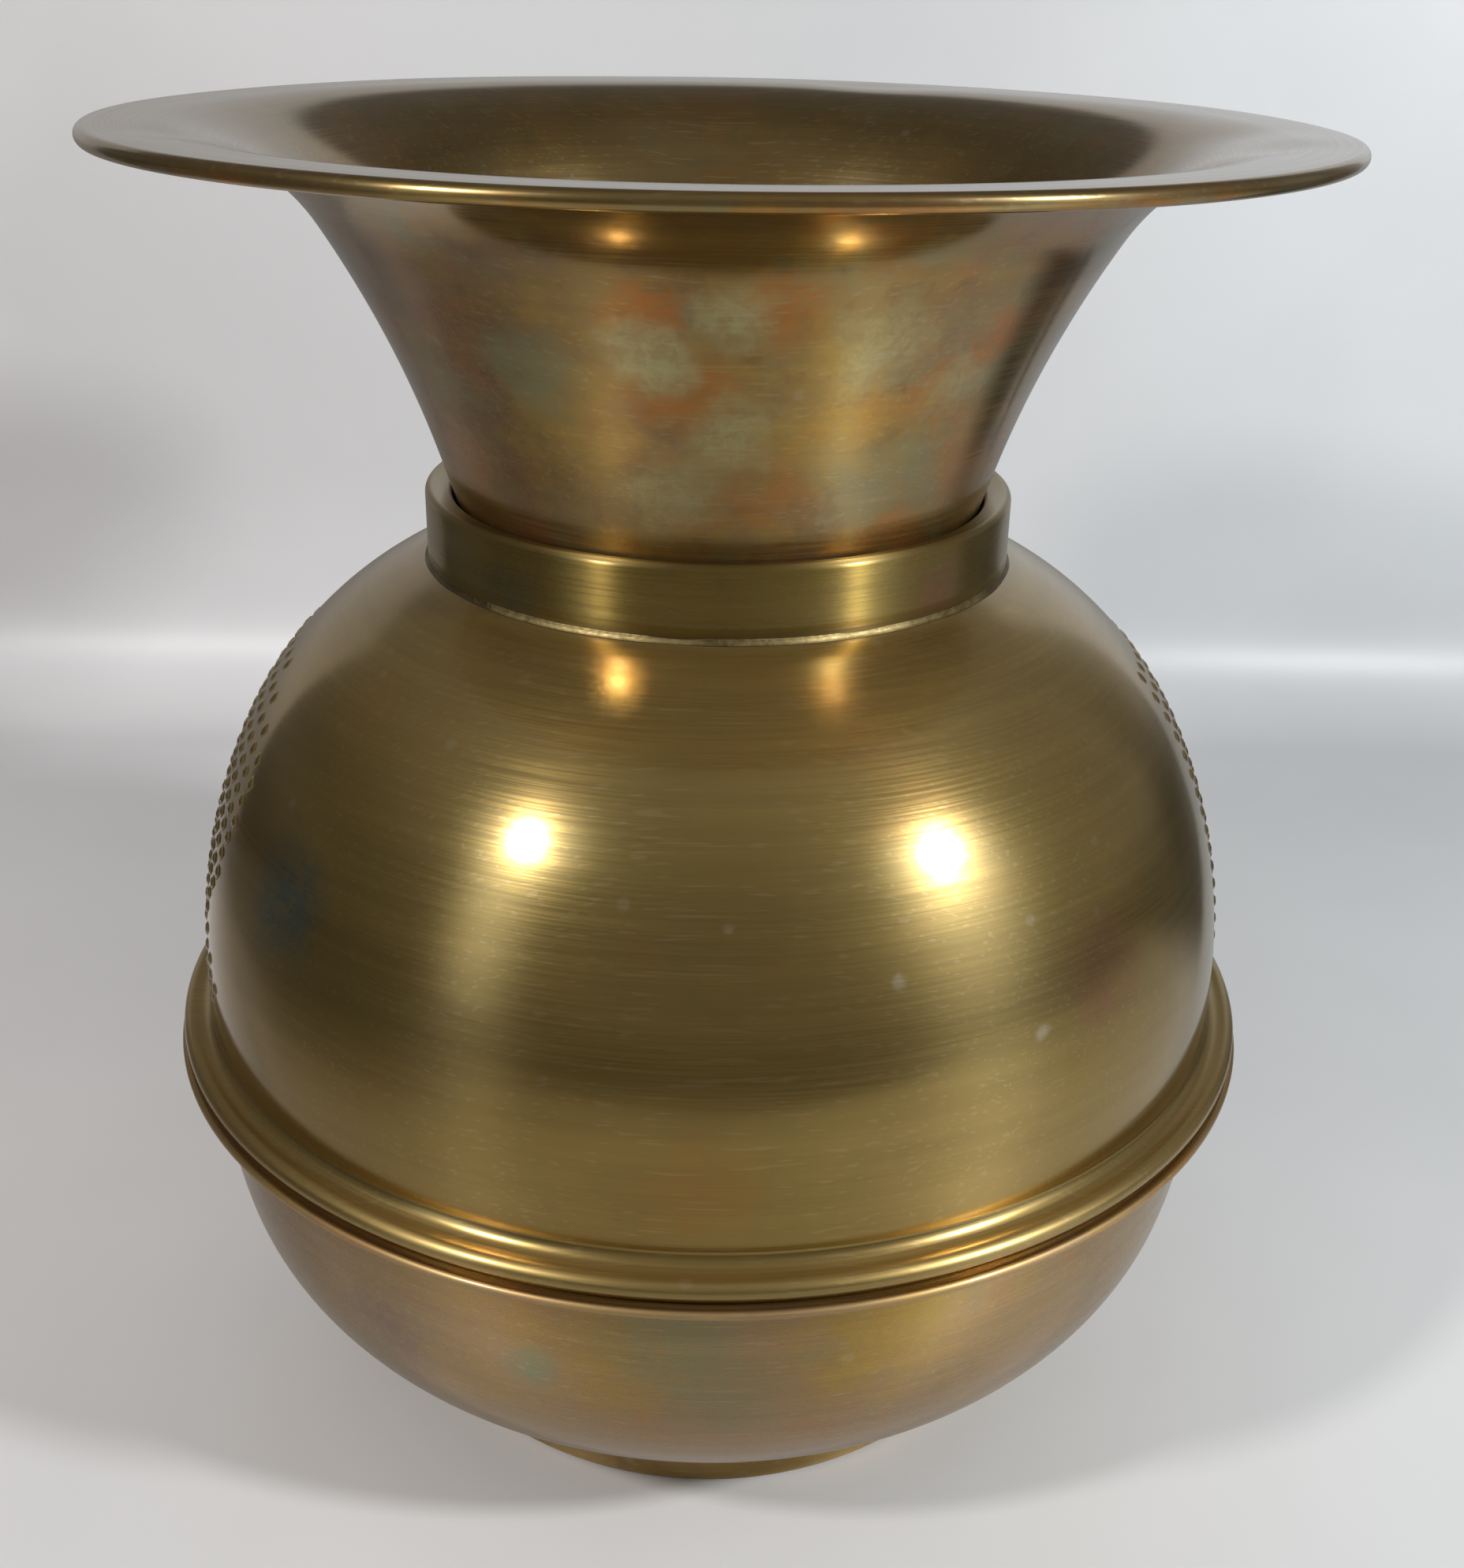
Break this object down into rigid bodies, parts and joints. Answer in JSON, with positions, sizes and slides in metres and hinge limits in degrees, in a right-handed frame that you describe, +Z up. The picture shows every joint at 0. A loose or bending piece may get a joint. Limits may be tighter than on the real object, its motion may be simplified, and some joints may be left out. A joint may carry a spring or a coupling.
{
  "type": "spittoon",
  "caption": "Brass spittoon: a spun ball on a low foot, with a rolled belt seam, a dished collar and a wide flared mouth that lifts out.",
  "frame": {"origin": "centre of the foot, on the surface that the spittoon stands on", "axes": "+Z up along the axis of the vessel; -Y towards the viewer of the picture; +X to the viewer's right"},
  "size_m": [0.2285, 0.2284, 0.2655],
  "materials": {
    "mouth_brass": "polished, with brown and grey-green tarnish",
    "body_brass": "polished, with fine turned lines",
    "bowl_brass": "satin, with brown tarnish",
    "steel_wire": "drawn",
    "soft_solder": "dull grey",
    "iron": "as cast",
    "pitch": "dull black"
  },
  "bodies": {
    "vessel": {"upper_body": "body_brass", "lower_bowl": "bowl_brass", "neck_collar": "body_brass", "collar_solder": "body_brass", "seam_solder": "soft_solder", "foot_ring": "bowl_brass", "foot_solder": "soft_solder", "base_weight": "iron", "base_filling": "pitch", "base_plate": "bowl_brass"},
    "mouth": {"flared_mouth": "mouth_brass", "rim_wire": "steel_wire"}
  },
  "joints": [
    {"name": "mouth_lift", "type": "slide", "parent": "vessel", "child": "mouth", "axis": [0, 0, 1], "range_m": [0, 0.045]}
  ]
}
